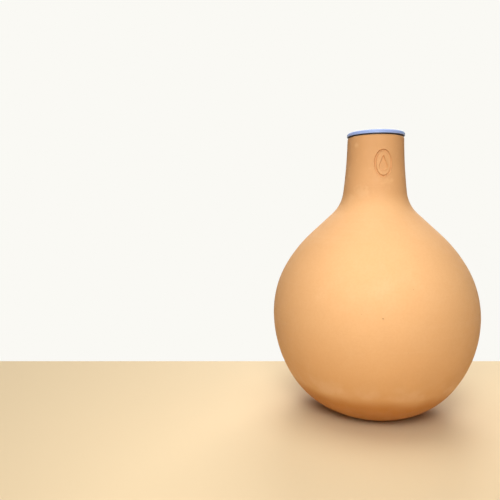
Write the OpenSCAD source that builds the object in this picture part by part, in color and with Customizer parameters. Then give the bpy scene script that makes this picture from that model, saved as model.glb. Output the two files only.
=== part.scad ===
// Irrigation olla: an unglazed clay vessel that is buried up to its neck and waters
// the soil round it, with a push-in silicone lid in its mouth.
// Millimetres, +Z up. The origin is the centre of the flat foot, on the ground.

/* [Vessel] */
// Widest diameter of the round body
body_d = 230; // [205:1:255]
// Height from the foot to the top of the clay lip
vessel_h = 312.9; // [285:0.1:345]
// Thickness of the cast wall
wall = 6.5; // [4.5:0.5:8.5]
// Thickness of the floor inside the foot
floor_t = 7; // [5:0.5:10]

/* [Body curve] */
// Radius of the side curve below the widest point
lower_r = 133; // [120:1:148]
// Degrees that the lower side curve turns before the base curve takes over
lower_turn = 34; // [28:1:42]
// Radius of the base curve that turns in to the foot
base_r = 95; // [88:1:104]
// Diameter of the flat foot that stands on the ground
foot_d = 80; // [64:1:92]
// Rounding where the foot meets the base curve
foot_edge_r = 8; // [3:0.5:12]
// Rounding inside, where the floor meets the wall
floor_fillet_r = 14; // [8:0.5:20]
// Radius of the side curve above the widest point
upper_r = 115; // [104:1:126]
// Degrees that the upper side curve turns before the shoulder curve takes over
upper_turn = 30; // [22:1:38]
// Radius of the shoulder curve
shoulder_r = 150; // [130:1:172]

/* [Shoulder and neck] */
// Lean of the straight shoulder from upright, in degrees
shoulder_lean = 46.8; // [44:0.1:50]
// Radius of the hollow curve between the shoulder and the neck
neck_fillet_r = 39.5; // [32:0.5:48]
// Lean of the neck from upright where it leaves that curve, in degrees
neck_lean = 7.6; // [6:0.1:9.2]
// Lean of the neck from upright at the lip, in degrees
lip_lean = 0.3; // [0:0.1:1.2]
// Outer diameter of the neck at the lip
neck_d = 62.5; // [57:0.5:68]

/* [Mouth] */
// Thickness of the clay at the lip
lip_t = 7; // [5.5:0.25:8.5]
// Rounding of the lip outside
lip_outer_r = 2; // [1:0.1:2.6]
// Rounding of the lip inside
lip_inner_r = 1; // [0.4:0.1:1.6]
// Depth of the straight bore that takes the lid
bore_depth = 30; // [26:0.5:34]
// Height over which the bore opens out to the cast wall below it
bore_blend_h = 6; // [3:0.5:9]

/* [Lid] */
// How far the lid's flange stands out past the neck
flange_overhang = 0.7; // [0.3:0.1:1.5]
// Height of the flange's top above the clay lip
flange_h = 5; // [4.7:0.1:6]
// Gap between the lip and the flange's rim, where a fingernail lifts the lid
rim_gap = 1; // [0.6:0.1:1.3]
// How far inside the neck's face the seat ends that the flange rests on
seat_inset = 3; // [2.7:0.1:3.6]
// Rounding of the flange's top edge
flange_top_r = 2; // [0.8:0.1:2.4]
// Rounding of the flange's lower edge
flange_low_r = 0.5; // [0.2:0.1:0.8]
// Depth of the plug below the lip
plug_depth = 22; // [20:0.5:25]
// Thickness of the plug's skirt
plug_wall = 2.6; // [2.4:0.1:3.4]
// Thickness of the web that closes the top of the hollow plug
web_t = 4.9; // [4:0.1:5.4]
// Rounding inside the hollow plug, under the web
web_fillet_r = 2; // [1:0.1:3]
// Rounding at the plug's lower end
plug_end_r = 1; // [0.4:0.1:1.2]
// Number of sealing ribs round the plug
rib_count = 3; // [2:1:4]
// Height of each rib above the skirt
rib_r = 1.4; // [1:0.1:1.5]
// Distance from the lip down to the first rib
rib_start = 4.5; // [3.5:0.1:5.5]
// Distance from the last rib down to the plug's end
rib_end = 5.5; // [4:0.1:6.5]
// Gap between the ribs and the bore
lid_clearance = 0.3; // [0.1:0.05:0.6]

/* [Hidden] */

clay_colour = [0.88, 0.64, 0.44];
silicone_colour = [0.60, 0.69, 0.88];

// How far a curve's chords may lie inside it, and the sides that a preview gives a turned form
curve_tol = 0.03;
$fn = 120;

body_r = body_d / 2;
neck_r = neck_d / 2;
foot_r = foot_d / 2;
bore_r = neck_r - lip_t;

// Centres of the body's curves, each as distance from the axis and height
base_x = body_r - lower_r + (lower_r - base_r) * cos(lower_turn);
base_z = foot_edge_r + sqrt(pow(base_r - foot_edge_r, 2) - pow(foot_r - base_x, 2));
widest_z = base_z + (lower_r - base_r) * sin(lower_turn);
lower_c = [body_r - lower_r, widest_z];
base_c = [base_x, base_z];
upper_c = [body_r - upper_r, widest_z];

shoulder_c = upper_c + (upper_r - shoulder_r) * [cos(upper_turn), sin(upper_turn)];

// A point at an angle on a circle
function on_circle(c, r, a) = c + r * [cos(a), sin(a)];

// What is left for the straight shoulder and the neck's long curve, once the hollow curve
// between them has taken its share of the way in and of the way up
shoulder_end = on_circle(shoulder_c, shoulder_r, shoulder_lean);
way_in = shoulder_end.x - neck_r - neck_fillet_r * (cos(neck_lean) - cos(shoulder_lean));
way_up = vessel_h - shoulder_end.y - neck_fillet_r * (sin(shoulder_lean) - sin(neck_lean));

// The radius at which the neck's curve ends at the lip with its lean there, and the centres of
// that curve and of the hollow curve below it
neck_curve_r = (way_up * sin(shoulder_lean) - way_in * cos(shoulder_lean))
    / (cos(shoulder_lean - neck_lean) - cos(shoulder_lean - lip_lean));
neck_c = [neck_r + neck_curve_r * cos(lip_lean), vessel_h + neck_curve_r * sin(lip_lean)];
fillet_c = neck_c - (neck_curve_r - neck_fillet_r) * [cos(neck_lean), sin(neck_lean)];

// Lean of the neck at a height, on the face that lies this far inside the outer one
function lean_at(inset, z) = asin((neck_c.y - z) / (neck_curve_r + inset));

// A run of points on a circle
function arc(c, r, from, to, last = true) =
    let (n = ceil(abs(to - from) / (2 * acos(1 - curve_tol / r))))
    [for (i = [0 : last ? n : n - 1]) on_circle(c, r, from + (to - from) * i / n)];

// The small curve that joins a level line at height z to the base curve, when that curve has
// the radius r. The same form serves the foot outside and the floor inside.
function edge_x(r, z, edge) = base_c.x + sqrt(pow(r - edge, 2) - pow(base_c.y - z - edge, 2));
function edge_angle(r, z, edge) = atan2(z + edge - base_c.y, edge_x(r, z, edge) - base_c.x);
function level_edge(r, z, edge) =
    arc([edge_x(r, z, edge), z + edge], edge, -90, edge_angle(r, z, edge), false);

// One side of the wall from its lowest level up the neck, to where the neck has the last lean.
// The inset is 0 outside, and the wall inside, where the curves share the outside's centres.
function side(inset, z, edge, last_lean) = concat(
    level_edge(base_r - inset, z, edge),
    arc(base_c, base_r - inset, edge_angle(base_r - inset, z, edge), -lower_turn, false),
    arc(lower_c, lower_r - inset, -lower_turn, 0, false),
    arc(upper_c, upper_r - inset, 0, upper_turn, false),
    arc(shoulder_c, shoulder_r - inset, upper_turn, shoulder_lean),
    arc(fillet_c, neck_fillet_r + inset, 180 + shoulder_lean, 180 + neck_lean, false),
    arc(neck_c, neck_curve_r + inset, 180 + neck_lean, 180 + last_lean, false)
);

// The lip's outer rounding is tangent to the neck's curve and to the level top
lip_edge_lean = lean_at(lip_outer_r, vessel_h - lip_outer_r);
lip_edge_c = on_circle(neck_c, neck_curve_r + lip_outer_r, 180 + lip_edge_lean);

// Lean of the cast inner face where the straight bore's blend meets it
blend_lean = lean_at(wall, vessel_h - bore_depth - bore_blend_h);

function reversed(points) = [for (i = [len(points) - 1 : -1 : 0]) points[i]];

function mouth() = concat(
    arc(lip_edge_c, lip_outer_r, lip_edge_lean, 90),
    arc([bore_r + lip_inner_r, vessel_h - lip_inner_r], lip_inner_r, 90, 180),
    [
        [bore_r, vessel_h - bore_depth],
        on_circle(neck_c, neck_curve_r + wall, 180 + blend_lean)
    ]
);

module vessel() {
    color(clay_colour)
        rotate_extrude()
            polygon(concat(
                [[0, 0]],
                side(0, 0, foot_edge_r, lip_edge_lean),
                mouth(),
                reversed(side(wall, floor_t, floor_fillet_r, blend_lean)),
                [[0, floor_t]]
            ));
}

plug_r = bore_r - lid_clearance - rib_r;
hollow_r = plug_r - plug_wall;
flange_r = neck_r + flange_overhang;
seat_r = neck_r - seat_inset;
web_z = flange_h - web_t;
rib_pitch = (plug_depth - rib_start - rib_end) / (rib_count - 1);

// The lid's section, with the lip at height 0, from the hollow under the web round the plug's
// end, the seat and the flange's rim to the middle of the top
function lid_section() = concat(
    [[0, web_z]],
    reversed(arc([hollow_r - web_fillet_r, web_z - web_fillet_r], web_fillet_r, 0, 90)),
    arc([hollow_r + plug_end_r, plug_end_r - plug_depth], plug_end_r, 180, 270),
    arc([plug_r - plug_end_r, plug_end_r - plug_depth], plug_end_r, -90, 0),
    [[plug_r, 0], [seat_r, 0], [seat_r, rim_gap]],
    arc([flange_r - flange_low_r, rim_gap + flange_low_r], flange_low_r, -90, 0),
    arc([flange_r - flange_top_r, flange_h - flange_top_r], flange_top_r, 0, 90),
    [[0, flange_h]]
);

module lid() {
    color(silicone_colour)
        translate([0, 0, vessel_h])
            rotate_extrude() {
                polygon(lid_section());
                for (i = [0 : rib_count - 1])
                    translate([plug_r, -rib_start - i * rib_pitch])
                        circle(r = rib_r);
            }
}

vessel();
lid();
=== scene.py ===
"""Looks of an irrigation olla: an unglazed clay vessel with a push-in silicone lid.

Everything is in metres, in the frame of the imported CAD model: +Z up, with the origin at
the centre of the foot. The vessel and the lid are dense turned meshes of the same sizes
as the CAD nodes that they stand for, with the small unevenness of cast clay and a mark
pressed into the neck.
"""

import math

import bpy
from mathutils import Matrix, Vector, noise


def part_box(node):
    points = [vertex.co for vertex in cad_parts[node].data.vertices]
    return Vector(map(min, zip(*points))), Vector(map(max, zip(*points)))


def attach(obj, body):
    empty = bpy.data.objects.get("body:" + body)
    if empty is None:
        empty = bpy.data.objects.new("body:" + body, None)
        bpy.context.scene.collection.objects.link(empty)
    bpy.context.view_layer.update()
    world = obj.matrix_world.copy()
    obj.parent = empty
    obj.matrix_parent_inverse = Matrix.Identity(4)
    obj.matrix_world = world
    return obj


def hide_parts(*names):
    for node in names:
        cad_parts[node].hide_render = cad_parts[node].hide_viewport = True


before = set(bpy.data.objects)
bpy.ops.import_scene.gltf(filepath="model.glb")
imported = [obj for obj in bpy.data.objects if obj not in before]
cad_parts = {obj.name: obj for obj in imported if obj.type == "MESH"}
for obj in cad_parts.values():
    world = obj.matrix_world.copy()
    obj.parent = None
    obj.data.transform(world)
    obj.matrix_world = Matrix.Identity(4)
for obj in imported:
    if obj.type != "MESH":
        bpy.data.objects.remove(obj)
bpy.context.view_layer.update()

MM = 0.001

# Camera and stage

IMAGE_PX = 500
FOCAL_PX = 490
SENSOR_MM = 36
CAMERA_AT = (-142.95 * MM, -565.72 * MM, 226.93 * MM)
CAMERA_DOWN_DEG = 4.23

# The floor ends behind the part, where the main view has its horizon
FLOOR_BACK_EDGE = 176 * MM
FLOOR_FRONT = 1.6
FLOOR_HALF_WIDTH = 2.2
FLOOR_THICKNESS = 27 * MM
FLOOR_COLOUR = (0.76, 0.595, 0.37)

BACKDROP = (0.956, 0.947, 0.905)
AMBIENT = (0.93, 0.96, 1.0)
AMBIENT_STRENGTH = 0.05
LAMP_AIM_Z = 0.17

# Sizes of the vessel, the same as in the CAD source

BODY_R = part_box("vessel")[1][0]
VESSEL_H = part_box("vessel")[1][2]
WALL = 6.5 * MM
FLOOR_T = 7 * MM
LOWER_R = 133 * MM
LOWER_TURN = 34
BASE_R = 95 * MM
FOOT_R = 40 * MM
FOOT_EDGE_R = 8 * MM
FLOOR_FILLET_R = 14 * MM
UPPER_R = 115 * MM
UPPER_TURN = 30
SHOULDER_R = 150 * MM
SHOULDER_LEAN = 46.8
NECK_FILLET_R = 39.5 * MM
NECK_LEAN = 7.6
LIP_LEAN = 0.3
NECK_R = 31.25 * MM
LIP_T = 7 * MM
LIP_OUTER_R = 2 * MM
LIP_INNER_R = 1 * MM
BORE_R = NECK_R - LIP_T
BORE_DEPTH = 30 * MM
BORE_BLEND_H = 6 * MM

# Sizes of the lid, the same as in the CAD source apart from the fine parting step

LID_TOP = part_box("lid")[1][2]
PLUG_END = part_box("lid")[0][2]
FLANGE_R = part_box("lid")[1][0]
FLANGE_TOP_R = 2 * MM
FLANGE_LOW_R = 0.5 * MM
PARTING_STEP = 0.12 * MM
RIM_GAP = 1 * MM
RIM_Z = VESSEL_H + RIM_GAP
SEAT_INSET = 3 * MM
SEAT_R = NECK_R - SEAT_INSET
RIB_R = 1.4 * MM
RIB_COUNT = 3
RIB_PITCH = 6 * MM
RIB_START = 4.5 * MM
LID_CLEARANCE = 0.3 * MM
PLUG_R = BORE_R - LID_CLEARANCE - RIB_R
PLUG_WALL = 2.6 * MM
PLUG_END_R = 1 * MM
WEB_T = 4.9 * MM
WEB_FILLET_R = 2 * MM

# The mark pressed into the neck: an upright oval line round a water drop. The clay that
# the press pushed up stands beside the groove.

MARK_AZIMUTH = -88.5
MARK_Z = 281.6 * MM
MARK_HALF_W = 8.8 * MM
MARK_HALF_H = 14 * MM
MARK_STROKE = 0.85 * MM
MARK_EDGE = 0.35 * MM
MARK_DEPTH = 1.5 * MM
PUSHED_SHARE = 0.18
PUSHED_END = 4 * MARK_EDGE
DROP_V = -3.2 * MM
DROP_R = 4.4 * MM
DROP_TIP_R = 0.5 * MM
DROP_H = 10.5 * MM

# Unevenness of the outer face: how often each kind comes per metre, and how far it
# stands off the true form. The rings are read along one upright lane of the noise.
# All of it fades in above the floor and fades out below the lip.

SWELLS_PER_M = 17
SWELL_REACH = 0.30 * MM
DENTS_PER_M = 60
DENT_REACH = 0.06 * MM
DENT_FLATNESS = 2.5
RINGS_PER_M = 210
RING_REACH = 0.035 * MM
RING_LANE = (1.5, 0.5)
FADE_IN = (0.5 * MM, 8 * MM)
FADE_OUT = (9 * MM, 2.5 * MM)

# Spacing of the points along the sections, and of the columns round the axis

CAST_STEP = 5 * MM
BORE_STEP = 4 * MM
BODY_STEP = 2.2 * MM
FACE_STEP = 2 * MM
LAND_STEP = 1.2 * MM
RIM_STEP = 0.6 * MM
SEAT_STEP = 0.5 * MM
WEB_EDGE_STEP = 0.4 * MM
ROUND_STEP = 0.35 * MM
END_STEP = 0.3 * MM
MARK_STEP = 0.26 * MM
TOP_EDGE_STEP = 0.25 * MM
LOW_EDGE_STEP = 0.15 * MM

MARK_MARGIN = 3 * MARK_EDGE
MARK_COLUMN_DEG = 0.46
PLAIN_COLUMN_DEG = 2.6
LID_COLUMNS = 180

FEWEST_CHORDS = 3
SAME_POINT = 1e-6
CREASE_DEG = 50


def cos(degrees):
    return math.cos(math.radians(degrees))


def sin(degrees):
    return math.sin(math.radians(degrees))


def smooth(low, high, value):
    """0 below low, 1 above high, and an even rise between them."""
    share = min(max((value - low) / (high - low), 0.0), 1.0)
    return share * share * (3 - 2 * share)


# Sections, as points of distance from the axis and height


def on_circle(centre, radius, angle):
    return (centre[0] + radius * cos(angle), centre[1] + radius * sin(angle))


def arc(centre, radius, start, end, step):
    """Points of an arc from one angle to another, in degrees, about step apart."""
    length = math.radians(abs(end - start)) * radius
    count = max(FEWEST_CHORDS, math.ceil(length / step))
    turn = end - start
    return [
        on_circle(centre, radius, start + turn * i / count) for i in range(count + 1)
    ]


def line(start, end, step):
    """Points of a straight run, about step apart."""
    count = max(1, math.ceil(math.dist(start, end) / step))
    return [
        tuple(a + (b - a) * i / count for a, b in zip(start, end))
        for i in range(count + 1)
    ]


def chain(*runs):
    """Joins runs end to end, with each shared point once."""
    points = list(runs[0])
    for run in runs[1:]:
        shared = math.dist(points[-1], run[0]) < SAME_POINT
        points += run[1:] if shared else run
    return points


# Centres of the body's curves
BASE_X = BODY_R - LOWER_R + (LOWER_R - BASE_R) * cos(LOWER_TURN)
BASE_Z = FOOT_EDGE_R + math.sqrt((BASE_R - FOOT_EDGE_R) ** 2 - (FOOT_R - BASE_X) ** 2)
WIDEST_Z = BASE_Z + (LOWER_R - BASE_R) * sin(LOWER_TURN)
UPPER_C = (BODY_R - UPPER_R, WIDEST_Z)
SHOULDER_C = on_circle(UPPER_C, UPPER_R - SHOULDER_R, UPPER_TURN)
SHOULDER_END = on_circle(SHOULDER_C, SHOULDER_R, SHOULDER_LEAN)

# What is left for the straight shoulder and the neck's long curve, once the hollow
# curve between them has taken its share of the way in and of the way up
WAY_IN = (
    SHOULDER_END[0] - NECK_R - NECK_FILLET_R * (cos(NECK_LEAN) - cos(SHOULDER_LEAN))
)
WAY_UP = (
    VESSEL_H - SHOULDER_END[1] - NECK_FILLET_R * (sin(SHOULDER_LEAN) - sin(NECK_LEAN))
)
NECK_CURVE_R = (WAY_UP * sin(SHOULDER_LEAN) - WAY_IN * cos(SHOULDER_LEAN)) / (
    cos(SHOULDER_LEAN - NECK_LEAN) - cos(SHOULDER_LEAN - LIP_LEAN)
)
NECK_C = on_circle((NECK_R, VESSEL_H), NECK_CURVE_R, LIP_LEAN)
FILLET_C = on_circle(NECK_C, NECK_FILLET_R - NECK_CURVE_R, NECK_LEAN)


def wall_side(inset, level, edge, step):
    """One side of the wall from its lowest level to the start of the neck's long curve.

    The inset is 0 outside and the wall inside. The points are twice as far apart on the
    level part, and twice as close on the small curve at its edge.
    """
    radius = BASE_R - inset
    edge_x = BASE_X + math.sqrt((radius - edge) ** 2 - (BASE_Z - level - edge) ** 2)
    edge_angle = math.degrees(math.atan2(level + edge - BASE_Z, edge_x - BASE_X))
    lower_c = (BODY_R - LOWER_R, WIDEST_Z)
    hollow_r = NECK_FILLET_R + inset
    shoulder = arc(SHOULDER_C, SHOULDER_R - inset, UPPER_TURN, SHOULDER_LEAN, step)
    hollow = arc(FILLET_C, hollow_r, 180 + SHOULDER_LEAN, 180 + NECK_LEAN, step)
    return chain(
        line((0, level), (edge_x, level), step * 2),
        arc((edge_x, level + edge), edge, -90, edge_angle, step / 2),
        arc((BASE_X, BASE_Z), radius, edge_angle, -LOWER_TURN, step),
        arc(lower_c, LOWER_R - inset, -LOWER_TURN, 0, step),
        arc(UPPER_C, UPPER_R - inset, 0, UPPER_TURN, step),
        shoulder,
        line(shoulder[-1], hollow[0], step),
        hollow,
    )


def lean_at(inset, z):
    """Lean of the neck's face from upright at a height, in degrees."""
    return math.degrees(math.asin((NECK_C[1] - z) / (NECK_CURVE_R + inset)))


def neck_run(inset, lean_from, lean_to, step):
    """Points up the neck's long curve between two leans."""
    return arc(NECK_C, NECK_CURVE_R + inset, 180 + lean_from, 180 + lean_to, step)


def vessel_outside():
    """The outer face from the foot's centre to the lip's highest point."""
    mark_reach = MARK_HALF_H + MARK_STROKE + MARK_MARGIN
    mark_low = lean_at(0, MARK_Z - mark_reach)
    mark_high = lean_at(0, MARK_Z + mark_reach)
    edge_lean = lean_at(LIP_OUTER_R, VESSEL_H - LIP_OUTER_R)
    edge_c = on_circle(NECK_C, NECK_CURVE_R + LIP_OUTER_R, 180 + edge_lean)
    return chain(
        wall_side(0, 0, FOOT_EDGE_R, BODY_STEP),
        neck_run(0, NECK_LEAN, mark_low, FACE_STEP),
        neck_run(0, mark_low, mark_high, MARK_STEP),
        neck_run(0, mark_high, edge_lean, LAND_STEP),
        arc(edge_c, LIP_OUTER_R, edge_lean, 90, ROUND_STEP),
    )


def outside_at(angle, z):
    """The point of the true outer face at an angle round the vessel and a height."""
    profile = vessel_outside()
    for (r0, z0), (r1, z1) in zip(profile, profile[1:]):
        if z0 <= z < z1:
            r = r0 + (r1 - r0) * (z - z0) / (z1 - z0)
            return (r * cos(angle), r * sin(angle), z)
    raise ValueError("no outer face at that height")


def vessel_inside():
    """The lip's land, the bore and the cast inner face, down to the floor's centre."""
    land = (BORE_R + LIP_INNER_R, VESSEL_H)
    bore_top = (BORE_R, VESSEL_H - LIP_INNER_R)
    bore_end = (BORE_R, VESSEL_H - BORE_DEPTH)
    blend_lean = lean_at(WALL, VESSEL_H - BORE_DEPTH - BORE_BLEND_H)
    cast = chain(
        wall_side(WALL, FLOOR_T, FLOOR_FILLET_R, CAST_STEP),
        neck_run(WALL, NECK_LEAN, blend_lean, BORE_STEP),
    )[::-1]
    return chain(
        line((NECK_R - LIP_OUTER_R, VESSEL_H), land, LAND_STEP),
        arc((land[0], bore_top[1]), LIP_INNER_R, 90, 180, END_STEP),
        line(bore_top, bore_end, BORE_STEP),
        line(bore_end, cast[0], FACE_STEP),
        cast,
    )


def plug_side():
    """The plug's side from its lowest rib up, each rib a half circle."""
    points = []
    for i in reversed(range(RIB_COUNT)):
        middle = (PLUG_R, VESSEL_H - RIB_START - i * RIB_PITCH)
        points += arc(middle, RIB_R, -90, 90, ROUND_STEP)
    return points


def lid_profile():
    """The lid's section from under its web, round plug and flange, to its top."""
    hollow_r = PLUG_R - PLUG_WALL
    web_z = LID_TOP - WEB_T
    web_c = (hollow_r - WEB_FILLET_R, web_z - WEB_FILLET_R)
    end_z = PLUG_END + PLUG_END_R
    seat, under_rim = (SEAT_R, VESSEL_H), (SEAT_R, RIM_Z)
    low_c = (FLANGE_R - FLANGE_LOW_R, RIM_Z + FLANGE_LOW_R)
    top_c = (FLANGE_R - FLANGE_TOP_R, LID_TOP - FLANGE_TOP_R)
    parting_r = FLANGE_R - PARTING_STEP
    parting_top = (RIM_Z + LID_TOP) / 2
    parting_low = parting_top - PARTING_STEP
    return chain(
        line((0, web_z), (web_c[0], web_z), FACE_STEP),
        arc(web_c, WEB_FILLET_R, 90, 0, WEB_EDGE_STEP),
        line((hollow_r, web_c[1]), (hollow_r, end_z), FACE_STEP),
        arc((hollow_r + PLUG_END_R, end_z), PLUG_END_R, 180, 270, END_STEP),
        arc((PLUG_R - PLUG_END_R, end_z), PLUG_END_R, -90, 0, END_STEP),
        plug_side(),
        line((PLUG_R, VESSEL_H), seat, LAND_STEP),
        line(seat, under_rim, SEAT_STEP),
        line(under_rim, (low_c[0], RIM_Z), RIM_STEP),
        arc(low_c, FLANGE_LOW_R, -90, 0, LOW_EDGE_STEP),
        line((FLANGE_R, low_c[1]), (FLANGE_R, parting_low), WEB_EDGE_STEP),
        line((parting_r, parting_low), (parting_r, parting_top), FACE_STEP),
        arc(top_c, FLANGE_TOP_R, 0, 90, TOP_EDGE_STEP),
        line((top_c[0], LID_TOP), (0, LID_TOP), FACE_STEP),
    )


# Turned meshes


def vessel_columns():
    """Angles round the vessel in degrees, close together where the mark is."""
    reach = math.degrees((MARK_HALF_W + MARK_STROKE + MARK_MARGIN) / NECK_R)
    fine = math.ceil(2 * reach / MARK_COLUMN_DEG)
    coarse = math.ceil((360 - 2 * reach) / PLAIN_COLUMN_DEG)
    start = MARK_AZIMUTH - reach
    near = [start + 2 * reach * i / fine for i in range(fine)]
    rest = [start + 2 * reach + (360 - 2 * reach) * i / coarse for i in range(coarse)]
    return near + rest


def lid_columns():
    """Angles round the lid in degrees."""
    return [360 * i / LID_COLUMNS for i in range(LID_COLUMNS)]


def turned(name, profile, columns, shift=None):
    """A closed mesh turned about Z from a profile that begins and ends on the axis.

    shift(point, row, angle) gives how far a point moves along its outward direction.
    """
    middle = profile[1:-1]
    vertices = [(0, 0, profile[0][1])]
    for row, (r, z) in enumerate(middle, 1):
        before, after = profile[row - 1], profile[row + 1]
        run = math.dist(before, after)
        out_r, out_z = (after[1] - before[1]) / run, (before[0] - after[0]) / run
        for angle in columns:
            c, s = cos(angle), sin(angle)
            point = Vector((r * c, r * s, z))
            if shift:
                outward = Vector((out_r * c, out_r * s, out_z))
                point += outward * shift(point, row, angle)
            vertices.append(point)
    vertices.append((0, 0, profile[-1][1]))

    n = len(columns)
    last = len(vertices) - 1
    top = last - n
    faces = [(0, 1 + (i + 1) % n, 1 + i) for i in range(n)]
    for low in range(1, top, n):
        high = low + n
        faces += [
            (low + i, low + (i + 1) % n, high + (i + 1) % n, high + i)
            for i in range(n)
        ]
    faces += [(last, top + i, top + (i + 1) % n) for i in range(n)]

    mesh = bpy.data.meshes.new(name)
    mesh.from_pydata(vertices, [], faces)
    mesh.shade_smooth()
    mesh.set_sharp_from_angle(angle=math.radians(CREASE_DEG))
    piece = bpy.data.objects.new(name, mesh)
    bpy.context.scene.collection.objects.link(piece)
    return piece


def oval_distance(u, v):
    """About how far a point is from the mark's oval."""
    reach = math.hypot(u / MARK_HALF_W, v / MARK_HALF_H)
    steep = math.hypot(u / MARK_HALF_W**2, v / MARK_HALF_H**2)
    return abs(reach * (reach - 1) / steep) if steep else MARK_HALF_W


def drop_distance(u, v):
    """How far a point is outside the drop's edge, or below 0 inside it."""
    across, up = abs(u), v - DROP_V
    lean = (DROP_R - DROP_TIP_R) / DROP_H
    rise = math.sqrt(1 - lean * lean)
    along = up * rise - across * lean
    if along < 0:
        return math.hypot(across, up) - DROP_R
    if along > rise * DROP_H:
        return math.hypot(across, up - DROP_H) - DROP_TIP_R
    return across * rise + up * lean - DROP_R


def mark_depth(u, v):
    """Depth of the pressed mark at a point, below 0 where clay is pushed up."""
    past_oval = max(abs(u) - MARK_HALF_W, abs(v) - MARK_HALF_H)
    if past_oval > MARK_STROKE + PUSHED_END:
        return 0.0
    outside = min(oval_distance(u, v) - MARK_STROKE, drop_distance(u, v))
    groove = 1 - smooth(-MARK_EDGE, MARK_EDGE, outside)
    rise = smooth(0, MARK_EDGE, outside)
    pushed = rise * (1 - smooth(MARK_EDGE, PUSHED_END, outside))
    return MARK_DEPTH * (groove - PUSHED_SHARE * pushed)


def unevenness(point):
    """How far cast and sponged clay stands off the true form."""
    flattened = Vector((point.x, point.y, point.z * DENT_FLATNESS))
    swell = noise.noise(point * SWELLS_PER_M) * SWELL_REACH
    dent = noise.noise(flattened * DENTS_PER_M) * DENT_REACH
    ring = noise.noise(Vector((*RING_LANE, point.z * RINGS_PER_M))) * RING_REACH
    near_lip = smooth(VESSEL_H - FADE_OUT[0], VESSEL_H - FADE_OUT[1], point.z)
    fade = smooth(*FADE_IN, point.z) * (1 - near_lip)
    return (swell + dent + ring) * fade


def make_vessel():
    outside = vessel_outside()
    outside_rows = len(outside)

    def shift(point, row, angle):
        if row >= outside_rows:
            return 0.0
        turn = (angle - MARK_AZIMUTH + 180) % 360 - 180
        u = math.radians(turn) * math.hypot(point.x, point.y)
        return unevenness(point) - mark_depth(u, point.z - MARK_Z)

    profile = chain(outside, vessel_inside())
    return turned("clay_vessel", profile, vessel_columns(), shift)


def make_lid():
    return turned("silicone_lid", lid_profile(), lid_columns())


# Materials


class Shader:
    """A Principled material and short calls that add nodes to it.

    Its textures lie in the piece's own coordinates, so every scale is per metre.
    """

    def __init__(self, name):
        self.material = bpy.data.materials.new(name)
        self.material.use_nodes = True
        self.tree = self.material.node_tree
        self.surface = self.tree.nodes["Principled BSDF"]
        self.place = self.tree.nodes.new("ShaderNodeTexCoord").outputs["Object"]

    def set(self, **values):
        """Sets constants on the surface's own sockets, named with _ for each space."""
        for name, value in values.items():
            self.surface.inputs[name.replace("_", " ")].default_value = value

    def feed(self, socket, value):
        """Links a socket to another node, or sets it to a constant."""
        if isinstance(value, bpy.types.NodeSocket):
            self.tree.links.new(value, socket)
        else:
            socket.default_value = value

    def stretched(self, scale):
        """The piece's coordinates, scaled differently along each axis."""
        node = self.tree.nodes.new("ShaderNodeMapping")
        node.inputs["Scale"].default_value = scale
        self.tree.links.new(self.place, node.inputs["Vector"])
        return node.outputs["Vector"]

    def height(self):
        node = self.tree.nodes.new("ShaderNodeSeparateXYZ")
        self.tree.links.new(self.place, node.inputs["Vector"])
        return node.outputs["Z"]

    def distance(self, point):
        node = self.tree.nodes.new("ShaderNodeVectorMath")
        node.operation = "DISTANCE"
        self.tree.links.new(self.place, node.inputs[0])
        node.inputs[1].default_value = point
        return node.outputs["Value"]

    def noise(self, scale, detail=3, roughness=0.5, place=None):
        node = self.tree.nodes.new("ShaderNodeTexNoise")
        node.inputs["Scale"].default_value = scale
        node.inputs["Detail"].default_value = detail
        node.inputs["Roughness"].default_value = roughness
        self.tree.links.new(place or self.place, node.inputs["Vector"])
        return node.outputs["Fac"]

    def cells(self, scale):
        """Distance to the nearest of many scattered points."""
        node = self.tree.nodes.new("ShaderNodeTexVoronoi")
        node.inputs["Scale"].default_value = scale
        self.tree.links.new(self.place, node.inputs["Vector"])
        return node.outputs["Distance"]

    def spread(self, value, low, high, to_low=0, to_high=1):
        """Maps a value from one range smoothly to another, and holds it there."""
        node = self.tree.nodes.new("ShaderNodeMapRange")
        node.interpolation_type = "SMOOTHSTEP"
        self.feed(node.inputs["Value"], value)
        node.inputs["From Min"].default_value = low
        node.inputs["From Max"].default_value = high
        node.inputs["To Min"].default_value = to_low
        node.inputs["To Max"].default_value = to_high
        return node.outputs["Result"]

    def patches(self, scale, low, high, share=1, detail=3, roughness=0.5):
        """Soft patches where a noise is high, from 0 up to a share."""
        value = self.noise(scale, detail, roughness)
        return self.spread(value, low, high, to_high=share)

    def dots(self, scale, core, rim, share):
        """Small round dots, with the share at their core and 0 past their rim."""
        return self.spread(self.cells(scale), core, rim, to_low=share, to_high=0)

    def maths(self, operation, a, b):
        node = self.tree.nodes.new("ShaderNodeMath")
        node.operation = operation
        self.feed(node.inputs[0], a)
        self.feed(node.inputs[1], b)
        return node.outputs["Value"]

    def plus(self, a, b):
        return self.maths("ADD", a, b)

    def times(self, a, b):
        return self.maths("MULTIPLY", a, b)

    def mix(self, share, a, b):
        """Colour a with a share of colour b laid over it."""
        node = self.tree.nodes.new("ShaderNodeMix")
        node.data_type = "RGBA"
        self.feed(node.inputs["Factor"], share)
        self.feed(node.inputs["A"], a)
        self.feed(node.inputs["B"], b)
        return node.outputs["Result"]

    def bump(self, value, distance, strength=1, under=None):
        """Relief of a value, laid over the relief that is under it."""
        node = self.tree.nodes.new("ShaderNodeBump")
        node.inputs["Distance"].default_value = distance
        node.inputs["Strength"].default_value = strength
        self.tree.links.new(value, node.inputs["Height"])
        if under:
            self.tree.links.new(under, node.inputs["Normal"])
        return node.outputs["Normal"]

    def finish(self, colour, roughness, normal):
        """Links the surface's inputs and returns the material."""
        self.tree.links.new(colour, self.surface.inputs["Base Color"])
        self.tree.links.new(roughness, self.surface.inputs["Roughness"])
        self.tree.links.new(normal, self.surface.inputs["Normal"])
        return self.material


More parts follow.
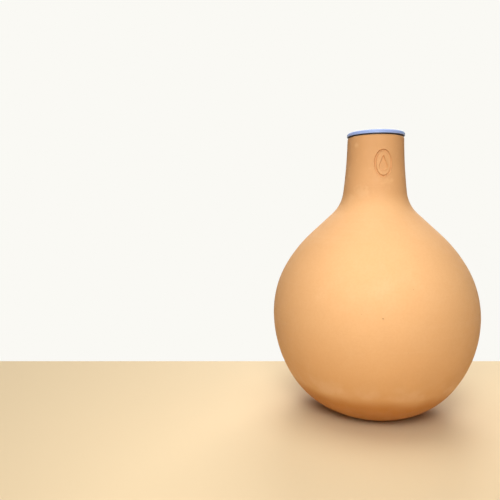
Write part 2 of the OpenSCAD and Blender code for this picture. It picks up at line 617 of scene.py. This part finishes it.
CLAY = (0.76, 0.43, 0.19, 1)
CLAY_PALE = (0.82, 0.52, 0.27, 1)
CLAY_RED = (0.70, 0.355, 0.142, 1)
CLAY_GROG = (0.40, 0.19, 0.08, 1)
CLAY_DUST = (0.88, 0.62, 0.37, 1)
CLAY_NECK = (0.605, 0.315, 0.13, 1)
# The low colour: a redder clay tone with painted shade and a painted warm reflection of
# the floor
CLAY_LOW_TONE_AND_SHADE = (0.70, 0.355, 0.118, 1)
CLAY_FOOT = (0.55, 0.225, 0.05, 1)
CLAY_ROUGHNESS = (0.62, 0.78)

# Heights between which the clay's tone changes, and how far the foot's band wanders
NECK_TONE_Z = (232 * MM, 256 * MM)
LIP_TONE_Z = (262 * MM, 294 * MM)
# Heights over which the painted shade and warm floor reflection low on the body fade out
# upwards
LOW_TONE_AND_SHADE_Z = (0, 120 * MM)
FOOT_TONE_Z = (33 * MM, 49 * MM)
DUST_LOW_Z = (42 * MM, 51 * MM)
DUST_HIGH_Z = (52 * MM, 68 * MM)
FOOT_WANDER = 8 * MM

# Level lines, as the scale across and the scale up: coarse ones and fine ones
LINES_SCALE = (6, 6, 330)
FINE_LINES_SCALE = (14, 14, 1100)

# Small pits in the fired face: angle round the vessel in degrees, height and radius
PITS = (
    (-99.2, 128.4 * MM, 0.9 * MM),
    (-109.2, 131.8 * MM, 0.6 * MM),
    (-24.0, 97.0 * MM, 0.8 * MM),
    (63.0, 158.0 * MM, 1.0 * MM),
    (149.0, 84.0 * MM, 0.7 * MM),
)
PIT_DEPTH = 0.5 * MM
PIT_TINT = 0.25


def clay_material():
    """Fired porous clay: clouds of tone, sponged level lines, fine grain and specks."""
    clay = Shader("unglazed_clay")
    clay.set(Specular_IOR_Level=0.35)
    height = clay.height()

    # Broad clouds of tone
    clouds = clay.patches(scale=9, low=0.3, high=0.7, share=0.3, detail=2)
    colour = clay.mix(clouds, CLAY, CLAY_RED)
    blush = clay.patches(scale=26, low=0.5, high=0.8, share=0.22, roughness=0.55)
    colour = clay.mix(blush, colour, CLAY_PALE)

    # Level lines that the sponge left here and there
    lines = clay.noise(1, roughness=0.6, place=clay.stretched(LINES_SCALE))
    fine_lines = clay.noise(1, detail=2, place=clay.stretched(FINE_LINES_SCALE))
    sponged = clay.patches(scale=9, low=0.42, high=0.62, detail=2)
    pale_lines = clay.times(clay.spread(lines, 0.5, 0.72, to_high=0.12), sponged)
    colour = clay.mix(pale_lines, colour, CLAY_PALE)

    # Mottle, grain and a few dark specks
    mottle = clay.patches(scale=420, low=0.4, high=0.62, share=0.2, roughness=0.6)
    colour = clay.mix(mottle, colour, CLAY_RED)
    grain = clay.noise(2400, detail=2, roughness=0.6)
    colour = clay.mix(clay.spread(grain, 0.5, 0.8, to_high=0.3), colour, CLAY_RED)
    specks = clay.dots(scale=150, core=0.04, rim=0.08, share=0.6)
    speckled = clay.patches(scale=70, low=0.62, high=0.68, detail=2)
    colour = clay.mix(clay.times(specks, speckled), colour, CLAY_GROG)

    # A darker neck, smudged with paler clay
    neck = clay.plus(
        clay.spread(height, *NECK_TONE_Z, to_high=0.68),
        clay.spread(height, *LIP_TONE_Z, to_high=0.3),
    )
    colour = clay.mix(neck, colour, CLAY_NECK)
    smudges = clay.patches(scale=55, low=0.55, high=0.7, share=0.4, roughness=0.6)
    colour = clay.mix(clay.times(smudges, neck), colour, CLAY_PALE)

    # Redder and darker towards the bottom: the clay's own redder tone, with painted shade
    # and a painted warm reflection of the floor. A redder foot with a ragged edge, and a
    # dusty band above it
    low = clay.spread(height, *LOW_TONE_AND_SHADE_Z, to_low=0.6, to_high=0)
    colour = clay.mix(low, colour, CLAY_LOW_TONE_AND_SHADE)
    wander = clay.spread(clay.noise(30), 0, 1, to_high=FOOT_WANDER)
    ragged = clay.plus(height, wander)
    foot = clay.spread(ragged, *FOOT_TONE_Z, to_low=0.9, to_high=0)
    colour = clay.mix(foot, colour, CLAY_FOOT)
    band = clay.times(
        clay.spread(ragged, *DUST_LOW_Z),
        clay.spread(ragged, *DUST_HIGH_Z, to_low=0.26, to_high=0),
    )
    dust = clay.patches(scale=26, low=0.42, high=0.66, roughness=0.6)
    colour = clay.mix(clay.times(band, dust), colour, CLAY_DUST)

    # 1 on the whole face and 0 in its pits
    whole = 1.0
    for angle, z, radius in PITS:
        away = clay.distance(outside_at(angle, z))
        whole = clay.times(clay.spread(away, radius / 2, radius), whole)
    pitted = clay.spread(whole, 0, 1, to_low=PIT_TINT, to_high=0)
    colour = clay.mix(pitted, colour, CLAY_GROG)

    roughness = clay.spread(clay.noise(120), 0.3, 0.7, *CLAY_ROUGHNESS)
    pores = clay.spread(clay.cells(420), 0.05, 0.22)
    relief = clay.bump(whole, distance=PIT_DEPTH)
    relief = clay.bump(grain, distance=0.10 * MM, strength=0.8, under=relief)
    relief = clay.bump(fine_lines, distance=0.08 * MM, strength=0.6, under=relief)
    relief = clay.bump(lines, distance=0.12 * MM, strength=0.8, under=relief)
    relief = clay.bump(pores, distance=0.05 * MM, strength=0.8, under=relief)
    return clay.finish(colour, roughness, relief)


SILICONE = (0.265, 0.37, 0.68, 1)
SILICONE_PALE = (0.32, 0.42, 0.73, 1)
SILICONE_DUST = (0.56, 0.61, 0.74, 1)
SILICONE_ROUGHNESS = (0.42, 0.56)

# Painted shade in the gap under the rim, and the heights where it begins and ends
SEAT_PAINTED_SHADE = (0.055, 0.04, 0.03, 1)
GAP_SHADE_LOW_Z = (VESSEL_H - 0.15 * MM, VESSEL_H - 0.05 * MM)
GAP_SHADE_HIGH_Z = (RIM_Z + 0.05 * MM, RIM_Z + 0.2 * MM)
GAP_SHADE_SHARES = (0.72, 0.98)


def silicone_material():
    """Moulded silicone: an even tint, milky depth, a satin grain, a little dust, and
    painted shade in the gap under the rim.
    """
    silicone = Shader("blue_silicone")
    silicone.set(
        Specular_IOR_Level=0.45,
        Subsurface_Weight=0.06,
        Subsurface_Scale=0.8 * MM,
        Sheen_Weight=0.04,
        Sheen_Roughness=0.5,
    )
    height = silicone.height()

    clouds = silicone.patches(scale=60, low=0.35, high=0.7, share=0.6)
    colour = silicone.mix(clouds, SILICONE, SILICONE_PALE)
    lint = silicone.dots(scale=700, core=0.06, rim=0.12, share=0.5)
    dusty = silicone.patches(scale=110, low=0.52, high=0.62)
    colour = silicone.mix(silicone.times(lint, dusty), colour, SILICONE_DUST)

    # Painted shade: the gap between the seat and the rim is coloured near black, a little
    # unevenly
    above_seat = silicone.spread(height, *GAP_SHADE_LOW_Z)
    below_rim = silicone.spread(height, *GAP_SHADE_HIGH_Z, to_low=1, to_high=0)
    in_gap = silicone.times(above_seat, below_rim)
    uneven = silicone.noise(200, detail=4, roughness=0.6)
    gap_shade = silicone.times(in_gap, silicone.spread(uneven, 0.3, 0.55, *GAP_SHADE_SHARES))
    colour = silicone.mix(gap_shade, colour, SEAT_PAINTED_SHADE)

    roughness = silicone.spread(silicone.noise(240), 0.3, 0.7, *SILICONE_ROUGHNESS)
    grain = silicone.noise(3200, detail=2)
    relief = silicone.bump(grain, distance=0.03 * MM, strength=0.7)
    return silicone.finish(colour, roughness, relief)


# Camera, floor and light


def make_camera():
    data = bpy.data.cameras.new("camera")
    data.sensor_width = SENSOR_MM
    data.lens = FOCAL_PX / IMAGE_PX * SENSOR_MM
    camera = bpy.data.objects.new("camera", data)
    camera.location = CAMERA_AT
    camera.rotation_euler = (math.radians(90 - CAMERA_DOWN_DEG), 0, 0)
    bpy.context.scene.collection.objects.link(camera)
    bpy.context.scene.camera = camera


def make_floor():
    """A plain pale slab under the part."""
    mesh = bpy.data.meshes.new("floor")
    x, front, back = FLOOR_HALF_WIDTH, -FLOOR_FRONT, FLOOR_BACK_EDGE
    corners = [(-x, front), (x, front), (x, back), (-x, back)]
    vertices = [(*c, 0) for c in corners] + [(*c, -FLOOR_THICKNESS) for c in corners]
    faces = [(0, 1, 2, 3), (7, 6, 5, 4)]
    faces += [(4 + i, 4 + (i + 1) % 4, (i + 1) % 4, i) for i in range(4)]
    mesh.from_pydata(vertices, [], faces)
    floor = bpy.data.objects.new("floor", mesh)
    bpy.context.scene.collection.objects.link(floor)
    paint = Shader("floor_paint")
    paint.set(Base_Color=(*FLOOR_COLOUR, 1), Roughness=0.75, Specular_IOR_Level=0.2)
    mesh.materials.append(paint.material)


def make_world():
    """Dim light from all round, and a plain pale backdrop that the camera sees.

    Glossy and transmission rays see the backdrop too.
    """
    world = bpy.data.worlds.new("studio")
    world.use_nodes = True
    bpy.context.scene.world = world
    tree = world.node_tree
    ambient = tree.nodes["Background"]
    ambient.inputs["Color"].default_value = (*AMBIENT, 1)
    ambient.inputs["Strength"].default_value = AMBIENT_STRENGTH
    backdrop = tree.nodes.new("ShaderNodeBackground")
    backdrop.inputs["Color"].default_value = (*BACKDROP, 1)
    backdrop.inputs["Strength"].default_value = 1.0
    rays = tree.nodes.new("ShaderNodeLightPath")
    seen = rays.outputs["Is Camera Ray"]
    for name in ("Is Glossy Ray", "Is Transmission Ray"):
        either = tree.nodes.new("ShaderNodeMath")
        either.operation = "MAXIMUM"
        tree.links.new(seen, either.inputs[0])
        tree.links.new(rays.outputs[name], either.inputs[1])
        seen = either.outputs["Value"]
    choose = tree.nodes.new("ShaderNodeMixShader")
    tree.links.new(seen, choose.inputs[0])
    tree.links.new(ambient.outputs["Background"], choose.inputs[1])
    tree.links.new(backdrop.outputs["Background"], choose.inputs[2])
    output = tree.nodes["World Output"]
    tree.links.new(choose.outputs["Shader"], output.inputs["Surface"])


def make_lamp(name, azimuth, elevation, distance, size, level, spread=180):
    """A square soft lamp aimed at the belly.

    Azimuth is in degrees from the front towards the right, and level is how brightly
    the lamp alone shows a white surface that faces it, where 1 is white. Spread is the
    full angle of its beam in degrees.
    """
    out = cos(elevation)
    way = Vector((sin(azimuth) * out, -cos(azimuth) * out, sin(elevation)))
    data = bpy.data.lights.new(name, "AREA")
    data.shape = "SQUARE"
    data.size = size
    data.spread = math.radians(spread)
    half = math.radians(spread / 2)
    narrowing = 1 - half / math.tan(half)
    data.energy = level * math.pi**2 * distance**2 * narrowing
    lamp = bpy.data.objects.new(name, data)
    lamp.location = Vector((0, 0, LAMP_AIM_Z)) + way * distance
    lamp.rotation_euler = way.to_track_quat("Z", "Y").to_euler()
    lamp.visible_camera = False
    bpy.context.scene.collection.objects.link(lamp)


bpy.context.scene.view_settings.view_transform = "Standard"
make_camera()
make_world()
make_floor()
make_lamp("overhead", azimuth=-40, elevation=82, distance=2.6, size=2.0, level=0.6)
make_lamp(
    "key", azimuth=-14, elevation=35, distance=0.8, size=0.3, level=0.48, spread=110
)
make_lamp(
    "front", azimuth=-14, elevation=18, distance=0.59, size=0.2, level=0.49, spread=110
)
make_lamp("back", azimuth=166, elevation=32, distance=2.4, size=1.4, level=0.8)

vessel = make_vessel()
vessel.data.materials.append(clay_material())
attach(vessel, "vessel")
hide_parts("vessel")

lid = make_lid()
lid.data.materials.append(silicone_material())
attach(lid, "lid")
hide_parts("lid")

bpy.context.view_layer.update()
